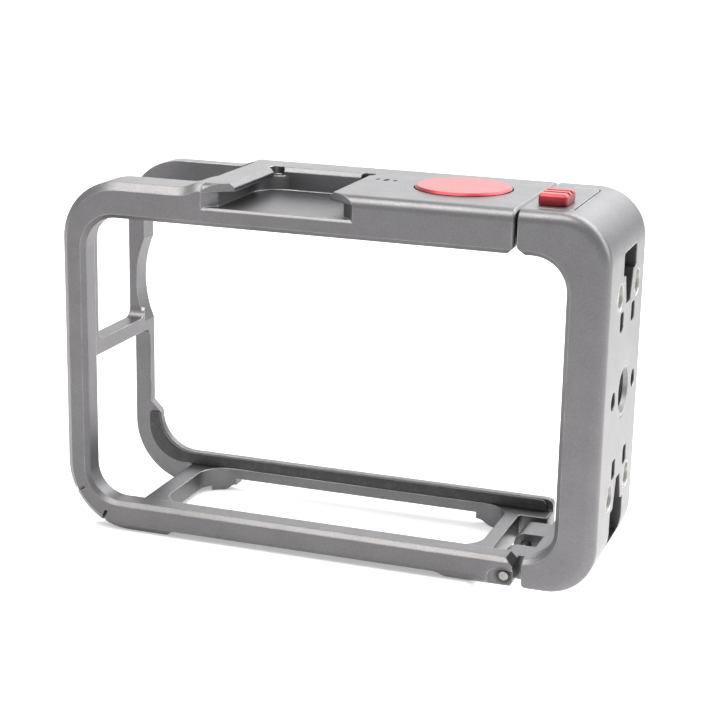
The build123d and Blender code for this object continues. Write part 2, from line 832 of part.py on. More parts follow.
with BuildPart() as lock_cover_screws:
    with BuildSketch(Plane.XY.offset(ceiling)):
        with Locations(*cover_screw_spots):
            Circle(screw_head_radius)
    extrude(amount=cover_screw_head_height)
    with BuildSketch(Plane.XY.offset(ceiling)):
        with Locations(*cover_screw_spots):
            Circle(screw_radius)
    extrude(amount=cover_base + cover_screw_bite - ceiling)
    with BuildSketch(Plane.XY.offset(ceiling)):
        with Locations(*cover_screw_spots):
            RegularPolygon(screw_radius, 6)
    extrude(amount=cover_screw_head_height / 2, mode=Mode.SUBTRACT)

lock_cover_screws.part.label = "lock_cover_screws"
export_step(lock_cover_screws.part, "parts/lock_cover_screws.step")

with BuildPart() as lock_bolt:
    with BuildSketch(Plane.XY.offset(bolt_base)):
        with Locations((lock_x, button_middle)):
            Rectangle(bolt_width, bolt_length)
    extrude(amount=bolt_thickness)
    with BuildSketch(Plane.XY.offset(tongue_base)):
        with Locations((tongue_tip, tongue_near)):
            Rectangle(bolt_left - tongue_tip, tongue_width, align=(Align.MIN, Align.MIN))
            Rectangle(barb_thickness, tongue_width + barb_catch, align=(Align.MIN, Align.MIN))
    extrude(amount=tongue_thickness)
    with BuildSketch(Plane.XY.offset(bolt_base)):
        with Locations((lock_x, button_middle)):
            Circle(screw_radius)
    extrude(amount=bolt_thickness, mode=Mode.SUBTRACT)
    with BuildSketch(Plane.XY.offset(bolt_base)):
        with Locations((lock_x, button_middle)):
            Circle(screw_head_radius)
    extrude(amount=screw_head_height, mode=Mode.SUBTRACT)

lock_bolt.part.label = "lock_bolt"
export_step(lock_bolt.part, "parts/lock_bolt.step")

with BuildPart() as lock_button:
    button_base = cage_height + button_lift
    button_top = button_base + button_height
    with BuildSketch(Plane.XY.offset(button_base)):
        with Locations((lock_x, button_middle)):
            RectangleRounded(button_width, button_length, button_corner)
    extrude(amount=button_height)
    chamfer(lock_button.faces().sort_by(Axis.Z)[-1].edges(), edge_break)
    with BuildSketch(Plane.YZ.offset(lock_x - button_width)):
        with Locations((button_middle, button_top)):
            with GridLocations(rib_groove_pitch, 1, 2, 1):
                Rectangle(rib_groove_width, 2 * rib_groove_depth)
    extrude(amount=2 * button_width, mode=Mode.SUBTRACT)
    with BuildSketch(Plane.XY.offset(bolt_top)):
        with Locations((lock_x, button_middle)):
            Rectangle(stem_width, stem_length)
    extrude(amount=button_base - bolt_top)
    with BuildSketch(Plane.XY.offset(bolt_top)):
        with Locations((lock_x, button_middle)):
            Circle(screw_radius)
    extrude(amount=button_screw_bite + lock_cover_thickness, mode=Mode.SUBTRACT)

lock_button.part.label = "lock_button"
export_step(lock_button.part, "parts/lock_button.step")

with BuildPart() as lock_button_screw:
    with BuildSketch(Plane.XY.offset(bolt_base)):
        with Locations((lock_x, button_middle)):
            Circle(screw_head_radius)
    extrude(amount=screw_head_height)
    with BuildSketch(Plane.XY.offset(bolt_base)):
        with Locations((lock_x, button_middle)):
            Circle(screw_radius)
    extrude(amount=bolt_thickness + button_screw_bite + lock_cover_thickness)

lock_button_screw.part.label = "lock_button_screw"
export_step(lock_button_screw.part, "parts/lock_button_screw.step")

# A bowed strip under the bolt. Its feet lie on the pocket's floor and its crown touches the bolt.
with BuildPart() as lock_leaf_spring:
    leaf_near = pocket_near + bolt_side_gap
    leaf_far = pocket_far - bolt_side_gap
    leaf_middle = middle(leaf_near, leaf_far)
    leaf_crown = bolt_base - leaf_gap
    with BuildSketch(Plane.YZ.offset(lock_x - leaf_width / 2)):
        with BuildLine():
            Line((leaf_near, pocket_floor + leaf_thickness), (leaf_near, pocket_floor))
            Line((leaf_near, pocket_floor), (leaf_near + leaf_end, pocket_floor))
            ThreePointArc(
                (leaf_near + leaf_end, pocket_floor),
                (leaf_middle, leaf_crown - leaf_thickness),
                (leaf_far - leaf_end, pocket_floor),
            )
            Line((leaf_far - leaf_end, pocket_floor), (leaf_far, pocket_floor))
            Line((leaf_far, pocket_floor), (leaf_far, pocket_floor + leaf_thickness))
            Line((leaf_far, pocket_floor + leaf_thickness), (leaf_far - leaf_end, pocket_floor + leaf_thickness))
            ThreePointArc(
                (leaf_far - leaf_end, pocket_floor + leaf_thickness),
                (leaf_middle, leaf_crown),
                (leaf_near + leaf_end, pocket_floor + leaf_thickness),
            )
            Line((leaf_near + leaf_end, pocket_floor + leaf_thickness), (leaf_near, pocket_floor + leaf_thickness))
        make_face()
    extrude(amount=leaf_width)

lock_leaf_spring.part.label = "lock_leaf_spring"
export_step(lock_leaf_spring.part, "parts/lock_leaf_spring.step")

with BuildPart() as keeper_plate:
    with BuildSketch(Plane.YZ.offset(keeper_face)):
        with Locations((middle(keeper_near, keeper_far), middle(keeper_base, keeper_top))):
            Rectangle(keeper_far - keeper_near, keeper_height)
        with Locations((middle(keeper_open_near, keeper_open_far), keeper_middle_z)):
            Rectangle(
                keeper_open_far - keeper_open_near, keeper_open_top - keeper_open_base, mode=Mode.SUBTRACT
            )
    extrude(amount=keeper_thickness)
    keeper_screw_spots = [
        (frame_end, keeper_near + keeper_screw_inset, keeper_middle_z),
        (frame_end, keeper_far - keeper_screw_inset, keeper_middle_z),
    ]
    for spot in keeper_screw_spots:
        with BuildSketch(Plane.YZ.offset(keeper_face)):
            with Locations((spot[1], spot[2])):
                Circle(screw_radius)
        with BuildSketch(Plane.YZ.offset(frame_end)):
            with Locations((spot[1], spot[2])):
                Circle(screw_head_radius)
        loft(mode=Mode.SUBTRACT)

keeper_plate.part.label = "keeper_plate"
export_step(keeper_plate.part, "parts/keeper_plate.step")

with BuildPart() as keeper_screws:
    for spot in keeper_screw_spots:
        with BuildSketch(Plane.YZ.offset(keeper_face)):
            with Locations((spot[1], spot[2])):
                Circle(screw_radius)
        with BuildSketch(Plane.YZ.offset(frame_end)):
            with Locations((spot[1], spot[2])):
                Circle(screw_head_radius)
        loft()
        with BuildSketch(Plane.YZ.offset(keeper_face - keeper_screw_bite)):
            with Locations((spot[1], spot[2])):
                Circle(screw_radius)
        extrude(amount=keeper_screw_bite)
        with BuildSketch(Plane.YZ.offset(frame_end - screw_head_height)):
            with Locations((spot[1], spot[2])):
                RegularPolygon(screw_radius * 0.8, 6)
        extrude(amount=screw_head_height + past, mode=Mode.SUBTRACT)

keeper_screws.part.label = "keeper_screws"
export_step(keeper_screws.part, "parts/keeper_screws.step")

# ---- record button

with BuildPart() as record_cap:
    with BuildSketch(Plane.XY.offset(cap_bottom)):
        with Locations((record_x, record_centre_y)):
            Circle(cap_radius)
    extrude(amount=cap_thickness)
    chamfer(record_cap.faces().sort_by(Axis.Z)[-1].edges(), cap_edge)
    with BuildSketch(Plane.XY.offset(cap_bottom)):
        with Locations((record_x, record_centre_y)):
            Circle(plunger_radius)
    extrude(amount=plunger_seat, mode=Mode.SUBTRACT)

record_cap.part.label = "record_cap"
export_step(record_cap.part, "parts/record_cap.step")

clip_top = clip_recess_top - clip_gap
clip_bottom = clip_top - clip_thickness
groove_radius = plunger_radius - groove_depth

with BuildPart() as record_plunger:
    with BuildSketch(Plane.XY.offset(ceiling + plunger_tip_lift)):
        with Locations((record_x, record_centre_y)):
            Circle(plunger_radius)
    extrude(amount=cap_bottom + plunger_seat - ceiling - plunger_tip_lift)
    with BuildSketch(Plane.XY.offset(clip_bottom)):
        with Locations((record_x, record_centre_y)):
            Circle(plunger_radius + past)
            Circle(groove_radius, mode=Mode.SUBTRACT)
    extrude(amount=clip_thickness, mode=Mode.SUBTRACT)

record_plunger.part.label = "record_plunger"
export_step(record_plunger.part, "parts/record_plunger.step")

with BuildPart() as record_clip:
    with BuildSketch(Plane.XY.offset(clip_bottom)):
        with Locations((record_x, record_centre_y)):
            Circle(clip_radius)
            Circle(groove_radius, mode=Mode.SUBTRACT)
            Rectangle(2 * clip_radius, clip_mouth, align=(Align.MIN, Align.CENTER), mode=Mode.SUBTRACT)
    extrude(amount=clip_thickness)

record_clip.part.label = "record_clip"
export_step(record_clip.part, "parts/record_clip.step")

with BuildPart() as record_bush:
    with BuildSketch(Plane.XY.offset(clip_recess_top)):
        with Locations((record_x, record_centre_y)):
            Circle(plunger_radius + bush_clearance + bush_wall)
            Circle(plunger_radius + bush_clearance, mode=Mode.SUBTRACT)
    extrude(amount=guide_thickness + bush_rise)

record_bush.part.label = "record_bush"
export_step(record_bush.part, "parts/record_bush.step")

with BuildPart() as record_spring:
    spring_base = well_floor + spring_wire / 2
    spring_rise = cap_bottom - well_floor - spring_wire
    with BuildLine():
        coil = Helix(
            pitch=spring_rise / spring_turns,
            height=spring_rise,
            radius=spring_radius,
            center=(record_x, record_centre_y, spring_base),
        )
    with BuildSketch(Plane(origin=coil @ 0, z_dir=coil % 0)):
        Circle(spring_wire / 2)
    sweep()

record_spring.part.label = "record_spring"
export_step(record_spring.part, "parts/record_spring.step")

# ---- side of the door

with BuildPart() as thread_insert:
    with BuildSketch(Plane.YZ.offset(right - insert_length)):
        with Locations((side_middle_y, side_centre_height)):
            Circle(insert_radius)
            Circle(thread_minor_radius, mode=Mode.SUBTRACT)
    extrude(amount=insert_length)
    mouth = thread_insert.faces().sort_by(Axis.X)[-1].edges().sort_by(SortBy.LENGTH)[0]
    chamfer(mouth, insert_chamfer)

thread_insert.part.label = "thread_insert"
export_step(thread_insert.part, "parts/thread_insert.step")

with BuildPart() as side_magnets:
    with BuildSketch(Plane.YZ.offset(right - magnet_recess - magnet_thickness)):
        with Locations((side_middle_y, side_centre_height)):
            with GridLocations(2 * magnet_offset_y, 2 * magnet_offset_z, 2, 2):
                Circle(magnet_radius)
    extrude(amount=magnet_thickness)

side_magnets.part.label = "side_magnets"
export_step(side_magnets.part, "parts/side_magnets.step")

# ---- silicone pads

with BuildPart() as far_lip_pad:
    pad_end = ear_end - lip_pad_end
    with BuildSketch(depth_plane(far_lip_face)):
        with Locations(bay_middle):
            RectangleRounded(bay_width, bay_height, bay_corner)
            RectangleRounded(
                far_open_width + 2 * lip_pad_margin,
                far_open_height + 2 * lip_pad_margin,
                far_open_corner + lip_pad_margin,
                mode=Mode.SUBTRACT,
            )
        with Locations((bay_left, floor_top)):
            Rectangle(
                pad_end - bay_left, far_lip_rise, align=(Align.MIN, Align.MIN), mode=Mode.INTERSECT
            )
    extrude(amount=lip_pad_thickness)

far_lip_pad.part.label = "far_lip_pad"
export_step(far_lip_pad.part, "parts/far_lip_pad.step")

with BuildPart() as ceiling_pad:
    with BuildSketch(Plane.XY.offset(ceiling + ceiling_pad_pocket)):
        with Locations((shoe_centre, side_middle_y)):
            RectangleRounded(ceiling_pad_length, ceiling_pad_width, ceiling_pad_corner)
    extrude(amount=-ceiling_pad_thickness)

ceiling_pad.part.label = "ceiling_pad"
export_step(ceiling_pad.part, "parts/ceiling_pad.step")

with BuildPart() as door_pad:
    with BuildSketch(Plane.YZ.offset(bay_right)):
        with Locations((side_middle_y, bay_middle[1])):
            RectangleRounded(
                far_lip_face - near_lip_back - 2 * door_pad_side_gap,
                bay_height - 2 * door_pad_end_gap,
                door_pad_corner,
            )
        with Locations((side_middle_y, side_centre_height)):
            Circle(screw_way_radius, mode=Mode.SUBTRACT)
    extrude(amount=-door_pad_thickness)

door_pad.part.label = "door_pad"
export_step(door_pad.part, "parts/door_pad.step")
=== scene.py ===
from math import cos, pi, radians, sin

import bmesh
import bpy
from mathutils import Matrix, Vector


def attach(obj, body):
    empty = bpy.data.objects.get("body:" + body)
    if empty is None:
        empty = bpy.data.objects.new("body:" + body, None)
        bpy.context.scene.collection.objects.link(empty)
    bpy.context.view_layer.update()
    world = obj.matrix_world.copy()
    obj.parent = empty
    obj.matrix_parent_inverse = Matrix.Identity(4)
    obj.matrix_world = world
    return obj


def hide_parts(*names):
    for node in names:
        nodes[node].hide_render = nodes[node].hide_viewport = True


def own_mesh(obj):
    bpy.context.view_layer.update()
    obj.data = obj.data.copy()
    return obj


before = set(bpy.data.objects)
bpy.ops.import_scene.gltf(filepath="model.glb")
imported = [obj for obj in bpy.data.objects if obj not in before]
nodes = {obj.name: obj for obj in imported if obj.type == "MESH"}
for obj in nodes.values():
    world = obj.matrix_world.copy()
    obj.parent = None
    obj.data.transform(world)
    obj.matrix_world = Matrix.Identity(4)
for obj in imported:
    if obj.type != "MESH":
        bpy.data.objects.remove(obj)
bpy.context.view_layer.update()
mm = 0.001
print("cage loaded,", len(nodes), "nodes")


def newTree(name):
    material = bpy.data.materials.new(name)
    material.use_nodes = True
    tree = material.node_tree
    return material, tree, tree.nodes["Principled BSDF"]


def addNode(tree, kind, settings=None, inputs=None):
    node = tree.nodes.new(kind)
    for key, value in (settings or {}).items():
        setattr(node, key, value)
    for key, value in (inputs or {}).items():
        if isinstance(value, bpy.types.NodeSocket):
            tree.links.new(value, node.inputs[key])
        else:
            node.inputs[key].default_value = value
    return node


def noiseValue(tree, place, scale, detail, rough):
    node = addNode(tree, "ShaderNodeTexNoise", None,
                   {"Vector": place, "Scale": scale, "Detail": detail, "Roughness": rough})
    return node.outputs["Fac"]


def rangeValue(tree, value, fromLow, fromHigh, toLow=0.0, toHigh=1.0):
    node = addNode(tree, "ShaderNodeMapRange", None,
                   {"Value": value, "From Min": fromLow, "From Max": fromHigh,
                    "To Min": toLow, "To Max": toHigh})
    return node.outputs["Result"]


def mathValue(tree, operation, first, second):
    return addNode(tree, "ShaderNodeMath", {"operation": operation}, {0: first, 1: second}).outputs[0]


def weighted(tree, *parts):
    # the sum of some values, each times its weight
    total = None
    for value, weight in parts:
        part = mathValue(tree, "MULTIPLY", value, weight)
        total = part if total is None else mathValue(tree, "ADD", total, part)
    return total


def mixColour(tree, amount, first, second):
    node = addNode(tree, "ShaderNodeMix", {"data_type": "RGBA"}, {0: amount, 6: first, 7: second})
    return node.outputs[2]


def objectPlace(tree, stretch=(1.0, 1.0, 1.0), shift=(0.0, 0.0, 0.0)):
    place = addNode(tree, "ShaderNodeTexCoord").outputs["Object"]
    node = addNode(tree, "ShaderNodeMapping", None, {"Vector": place, "Location": shift, "Scale": stretch})
    return node.outputs["Vector"]


bevelSamples = 6


def edgeMask(tree, radius, start, full):
    # how far the rounded-over normal leans from the real one: 0 on flats, 1 on edges
    soft = addNode(tree, "ShaderNodeBevel", {"samples": bevelSamples}, {"Radius": radius})
    real = addNode(tree, "ShaderNodeNewGeometry")
    lean = addNode(tree, "ShaderNodeVectorMath", {"operation": "DOT_PRODUCT"},
                   {0: soft.outputs["Normal"], 1: real.outputs["Normal"]}).outputs["Value"]
    return rangeValue(tree, lean, start, full), soft.outputs["Normal"]


def bumpNormal(tree, height, strength, distance, normal=None):
    inputs = {"Strength": strength, "Distance": distance, "Height": height}
    if normal is not None:
        inputs["Normal"] = normal
    return addNode(tree, "ShaderNodeBump", None, inputs).outputs["Normal"]


def spotDistance(tree, spot, halfSize):
    # distance from a spot in units of half its size along each axis: 1 on its outline
    place = addNode(tree, "ShaderNodeTexCoord").outputs["Object"]
    away = addNode(tree, "ShaderNodeVectorMath", {"operation": "SUBTRACT"}, {0: place, 1: Vector(spot) * mm})
    scaled = addNode(tree, "ShaderNodeVectorMath", {"operation": "DIVIDE"},
                     {0: away.outputs["Vector"], 1: Vector(halfSize) * mm})
    return addNode(tree, "ShaderNodeVectorMath", {"operation": "LENGTH"},
                   {0: scaled.outputs["Vector"]}).outputs["Value"]


def spotMask(tree, spots, outside, inside, most=1.0):
    # the full value inside any of the spots, 0 outside them all
    mask = None
    for spot, halfSize in spots:
        one = rangeValue(tree, spotDistance(tree, spot, halfSize), outside, inside, 0.0, most)
        mask = one if mask is None else mathValue(tree, "MAXIMUM", mask, one)
    return mask


def latheRings(tree, centre, axis, scale, wander, detail):
    # rings about one axis through a centre
    place = objectPlace(tree, shift=tuple(-c * mm for c in centre))
    return addNode(tree, "ShaderNodeTexWave",
                   {"wave_type": "RINGS", "rings_direction": axis, "wave_profile": "SIN"},
                   {"Vector": place, "Scale": scale, "Distortion": wander, "Detail": detail}).outputs["Fac"]


# a noise is its scale per metre, detail and roughness; a range is where a value starts and ends
blasted = {
    "base": (0.176, 0.173, 0.181, 1), "deep": (0.126, 0.124, 0.132, 1), "wearAndSheen": (0.55, 0.54, 0.52, 1),
    "mark": (0.012, 0.012, 0.013, 1), "bareAndLit": (0.50, 0.495, 0.48, 1), "paintedShade": (0.045, 0.043, 0.042, 1),
    "grain": (4300, 3, 0.6), "patch": (260, 4, 0.55), "drift": (32, 2, 0.5),
    "grainShare": 0.6, "patchShare": 0.25, "driftShare": 0.3,
    "toneRange": (0.35, 0.8), "roughRange": (0.3, 0.85), "rough": (0.45, 0.32),
    "edgeRadius": 0.26 * mm, "edgeRange": (0.985, 0.80), "rubAndSheenRange": (0.35, 0.7), "rubAndSheen": (0.25, 0.85),
    "markRim": (1.15, 0.85), "paintedShadeRim": (1.1, 0.7), "paintedShadeMost": 0.85, "bareAndLitRim": (1.02, 0.98),
    "bump": 0.45, "bumpDepth": 0.016 * mm, "bumpPatch": 0.3,
}


def blastedAluminium(name, marks=(), holes=(), shadedSpots=()):
    # bead-blasted and anodised: fine grain, slow changes of tone, paler edges that are partly wear and partly
    # painted highlight
    look = blasted
    material, tree, shader = newTree(name)
    place = objectPlace(tree)
    grain = noiseValue(tree, place, *look["grain"])
    patch = noiseValue(tree, place, *look["patch"])
    drift = noiseValue(tree, place, *look["drift"])
    edge, rounded = edgeMask(tree, look["edgeRadius"], *look["edgeRange"])
    mottled = weighted(tree, (grain, look["grainShare"]), (patch, look["patchShare"]),
                       (drift, look["driftShare"]))
    tone = mixColour(tree, rangeValue(tree, mottled, *look["toneRange"]), look["deep"], look["base"])
    # paler edges: partly wear, partly painted highlight along every edge
    rubAndSheen = mathValue(tree, "MULTIPLY", edge, rangeValue(tree, patch, *look["rubAndSheenRange"], *look["rubAndSheen"]))
    tone = mixColour(tree, rubAndSheen, tone, look["wearAndSheen"])
    rough = rangeValue(tree, mottled, *look["roughRange"], *look["rough"])
    shader.inputs["Metallic"].default_value = 1.0
    if marks:
        # laser-marked dots, flush with the surface
        dark = spotMask(tree, marks, *look["markRim"])
        tone = mixColour(tree, dark, tone, look["mark"])
        tree.links.new(mathValue(tree, "SUBTRACT", 1.0, dark), shader.inputs["Metallic"])
        rough = mathValue(tree, "MAXIMUM", rough, dark)
    if shadedSpots:
        # painted shade in the recess round the pin
        paintedShade = spotMask(tree, shadedSpots, *look["paintedShadeRim"], look["paintedShadeMost"])
        tone = mixColour(tree, paintedShade, tone, look["paintedShade"])
    if holes:
        # paler inside the small bores: partly bare metal cut after anodising, partly painted light over their
        # shade
        tone = mixColour(tree, spotMask(tree, holes, *look["bareAndLitRim"]), tone, look["bareAndLit"])
    tree.links.new(tone, shader.inputs["Base Color"])
    tree.links.new(rough, shader.inputs["Roughness"])
    height = weighted(tree, (grain, 1.0), (patch, look["bumpPatch"]))
    tree.links.new(bumpNormal(tree, height, look["bump"], look["bumpDepth"], rounded), shader.inputs["Normal"])
    return material


redDye = {
    "base": (0.35, 0.036, 0.044, 1), "deep": (0.29, 0.025, 0.034, 1), "wearAndSheen": (0.82, 0.45, 0.44, 1),
    "grain": (5200, 3, 0.6), "patch": (300, 3, 0.5), "toneRange": (0.3, 0.7),
    "roughRange": (0.25, 0.75), "rough": (0.34, 0.44), "coat": 0.36, "coatRough": 0.42,
    "edgeRadius": 0.16 * mm, "edgeRange": (0.98, 0.75), "rubAndSheenRange": (0.4, 0.75), "rubAndSheen": (0.05, 0.45),
    "rings": (900.0, 0.6, 1.0), "ringShare": 0.5, "bump": 0.3, "bumpDepth": 0.01 * mm,
}


def redAluminium(name, centre=None):
    # dyed and sealed; a round piece also carries faint rings from the lathe
    look = redDye
    material, tree, shader = newTree(name)
    place = objectPlace(tree)
    grain = noiseValue(tree, place, *look["grain"])
    patch = noiseValue(tree, place, *look["patch"])
    edge, rounded = edgeMask(tree, look["edgeRadius"], *look["edgeRange"])
    tone = mixColour(tree, rangeValue(tree, patch, *look["toneRange"]), look["deep"], look["base"])
    # paler edges: partly wear, partly painted highlight
    rubAndSheen = mathValue(tree, "MULTIPLY", edge, rangeValue(tree, patch, *look["rubAndSheenRange"], *look["rubAndSheen"]))
    tree.links.new(mixColour(tree, rubAndSheen, tone, look["wearAndSheen"]), shader.inputs["Base Color"])
    tree.links.new(rangeValue(tree, grain, *look["roughRange"], *look["rough"]), shader.inputs["Roughness"])
    height = grain
    if centre:
        rings = latheRings(tree, centre, "Z", *look["rings"])
        height = weighted(tree, (grain, 1.0), (rings, look["ringShare"]))
    tree.links.new(bumpNormal(tree, height, look["bump"], look["bumpDepth"], rounded), shader.inputs["Normal"])
    shader.inputs["Metallic"].default_value = 1.0
    shader.inputs["Coat Weight"].default_value = look["coat"]
    shader.inputs["Coat Roughness"].default_value = look["coatRough"]
    return material


turnedLook = {
    "grain": (4200, 3, 0.6), "stain": (700, 4, 0.6), "toneRange": (0.35, 0.7),
    "edgeRadius": 0.10 * mm, "edgeRange": (0.97, 0.7), "edgeShare": 0.6,
    "ringScale": 1400.0, "ringWander": 1.2, "ringDetail": 2.0, "streaks": 0.4,
    "stainShare": 0.6, "roughRange": (0.2, 0.9), "bumpGrain": 0.5, "bump": 0.35, "bumpDepth": 0.008 * mm,
}
turnedMetals = {
    "pinSteel": {"base": (0.37, 0.36, 0.345, 1), "deep": (0.25, 0.243, 0.232, 1),
                 "wearAndSheen": (0.70, 0.685, 0.655, 1), "rough": (0.18, 0.36)},
    "magnetNickel": {"base": (0.47, 0.46, 0.44, 1), "deep": (0.30, 0.293, 0.28, 1),
                     "wearAndSheen": (0.80, 0.785, 0.75, 1), "rough": (0.18, 0.30),
                     "ringScale": 600.0, "streaks": 0.15},
    "bushBrass": {"base": (0.66, 0.47, 0.20, 1), "deep": (0.50, 0.34, 0.14, 1),
                  "wearAndSheen": (0.85, 0.66, 0.35, 1), "rough": (0.20, 0.34)},
    "insertSteel": {"base": (0.21, 0.207, 0.206, 1), "deep": (0.15, 0.148, 0.147, 1),
                    "wearAndSheen": (0.50, 0.49, 0.475, 1), "rough": (0.32, 0.48)},
}


def turnedMetal(name, axis, centre):
    # metal off the lathe: rings about one axis, small stains, brighter edges that are partly wear and partly
    # painted highlight
    look = {**turnedLook, **turnedMetals[name]}
    material, tree, shader = newTree(name)
    place = objectPlace(tree)
    rings = latheRings(tree, centre, axis, look["ringScale"], look["ringWander"], look["ringDetail"])
    grain = noiseValue(tree, place, *look["grain"])
    stain = noiseValue(tree, place, *look["stain"])
    edge, rounded = edgeMask(tree, look["edgeRadius"], *look["edgeRange"])
    tone = mixColour(tree, rangeValue(tree, stain, *look["toneRange"]), look["deep"], look["base"])
    # paler edges: partly wear, partly painted highlight
    tone = mixColour(tree, mathValue(tree, "MULTIPLY", edge, look["edgeShare"]), tone, look["wearAndSheen"])
    tree.links.new(tone, shader.inputs["Base Color"])
    uneven = weighted(tree, (stain, look["stainShare"]), (rings, look["streaks"]))
    tree.links.new(rangeValue(tree, uneven, *look["roughRange"], *look["rough"]), shader.inputs["Roughness"])
    height = weighted(tree, (rings, look["streaks"]), (grain, look["bumpGrain"]))
    tree.links.new(bumpNormal(tree, height, look["bump"], look["bumpDepth"], rounded), shader.inputs["Normal"])
    shader.inputs["Metallic"].default_value = 1.0
    return material


groundLook = {
    "base": (0.43, 0.43, 0.44, 1), "deep": (0.28, 0.28, 0.29, 1), "wearAndSheen": (0.80, 0.79, 0.77, 1),
    "brushed": (3000, 4, 0.65), "stain": (600, 3, 0.6), "toneRange": (0.3, 0.7),
    "edgeRadius": 0.10 * mm, "edgeRange": (0.97, 0.7), "edgeShare": 0.5,
    "stainShare": 0.5, "brushedShare": 0.5, "roughRange": (0.3, 0.7), "rough": (0.22, 0.38),
    "bump": 0.3, "bumpDepth": 0.006 * mm,
}
groundSteels = {
    "keeperSteel": {"stretch": (1.0, 0.08, 1.0)},
    "boltSteel": {"stretch": (1.0, 0.08, 1.0)},
    "leafSteel": {"stretch": (1.0, 0.06, 1.0), "base": (0.46, 0.45, 0.43, 1), "deep": (0.32, 0.315, 0.30, 1)},
    "clipSteel": {"stretch": (0.3, 1.0, 1.0)},
    "springSteel": {"stretch": (1.0, 1.0, 0.3), "rough": (0.16, 0.28)},
    "screwBlack": {"stretch": (0.3, 1.0, 1.0), "base": (0.055, 0.055, 0.060, 1),
                   "deep": (0.030, 0.030, 0.034, 1), "rough": (0.28, 0.45)},
}


def groundSteel(name):
    # steel ground along one direction
    look = {**groundLook, **groundSteels[name]}
    material, tree, shader = newTree(name)
    brushed = noiseValue(tree, objectPlace(tree, stretch=look["stretch"]), *look["brushed"])
    stain = noiseValue(tree, objectPlace(tree), *look["stain"])
    edge, rounded = edgeMask(tree, look["edgeRadius"], *look["edgeRange"])
    tone = mixColour(tree, rangeValue(tree, brushed, *look["toneRange"]), look["deep"], look["base"])
    # paler edges: partly wear, partly painted highlight
    tone = mixColour(tree, mathValue(tree, "MULTIPLY", edge, look["edgeShare"]), tone, look["wearAndSheen"])
    tree.links.new(tone, shader.inputs["Base Color"])
    uneven = weighted(tree, (stain, look["stainShare"]), (brushed, look["brushedShare"]))
    tree.links.new(rangeValue(tree, uneven, *look["roughRange"], *look["rough"]), shader.inputs["Roughness"])
    tree.links.new(bumpNormal(tree, brushed, look["bump"], look["bumpDepth"], rounded), shader.inputs["Normal"])
    shader.inputs["Metallic"].default_value = 1.0
    return material


acetalLook = {
    "base": (0.83, 0.825, 0.80, 1), "deep": (0.74, 0.73, 0.70, 1),
    "cloud": (500, 3, 0.5), "grain": (5000, 2, 0.5),
    "roughRange": (0.3, 0.7), "rough": (0.34, 0.46), "bump": 0.2, "bumpDepth": 0.01 * mm,
}


def acetal(name):
    # white bearing plastic
    look = acetalLook
    material, tree, shader = newTree(name)
    place = objectPlace(tree)
    cloud = noiseValue(tree, place, *look["cloud"])
    grain = noiseValue(tree, place, *look["grain"])
    tree.links.new(mixColour(tree, cloud, look["deep"], look["base"]), shader.inputs["Base Color"])
    tree.links.new(rangeValue(tree, cloud, *look["roughRange"], *look["rough"]), shader.inputs["Roughness"])
    tree.links.new(bumpNormal(tree, grain, look["bump"], look["bumpDepth"]), shader.inputs["Normal"])
    return material


rubberLook = {
    "base": (0.044, 0.044, 0.048, 1), "dusty": (0.085, 0.085, 0.089, 1), "skinScale": 3600.0,
    "dust": (900, 5, 0.65), "dustRange": (0.45, 0.8), "roughRange": (0.3, 0.75), "rough": (0.52, 0.70),
    "bump": 0.35, "bumpDepth": 0.02 * mm,
}


def siliconeRubber(name):
    # matt silicone with a fine leathery skin and a little dust
    look = rubberLook
    material, tree, shader = newTree(name)
    place = objectPlace(tree)
    skin = addNode(tree, "ShaderNodeTexVoronoi", None,
                   {"Vector": place, "Scale": look["skinScale"]}).outputs["Distance"]
    dust = noiseValue(tree, place, *look["dust"])
    tone = mixColour(tree, rangeValue(tree, dust, *look["dustRange"]), look["base"], look["dusty"])
    tree.links.new(tone, shader.inputs["Base Color"])
    tree.links.new(rangeValue(tree, dust, *look["roughRange"], *look["rough"]), shader.inputs["Roughness"])
    tree.links.new(bumpNormal(tree, skin, look["bump"], look["bumpDepth"]), shader.inputs["Normal"])
    return material


def dress(name, material):
    slots = nodes[name].data.materials
    slots.clear()
    slots.append(material)


print("finishes ready")


# where things are, in mm, the same as in the solid model
places = {"sideCentre": (40.0, 0.95, 26.5), "hinge": (27.4, 0.0, 1.8), "record": (16.1, 0.65, 53.0)}

# spots with another colour (laser marks, painted shade round the pin, bores partly bare and partly painted
# light): the middle and half the size of each, in mm
markDots = (
    ((3.0, 2.2, 53.0), (0.30, 0.50, 0.3)),
    ((4.3, 2.1, 53.0), (0.38, 0.95, 0.3)),
    ((5.6, 2.1, 53.0), (0.28, 0.55, 0.3)),
)
# the spot round the pin where shade is painted
pinRecess = (((27.4, -12.1, 1.8), (1.5, 1.2, 1.5)),)
locatingHoles = tuple(((38.4, y, 26.5), (1.4, 1.9, 1.9)) for y in (-5.65, 7.55))
magnetPockets = tuple(((39.6, y, z), (2.0, 2.0, 2.0)) for y in (-4.65, 6.55) for z in (12.3, 40.7))

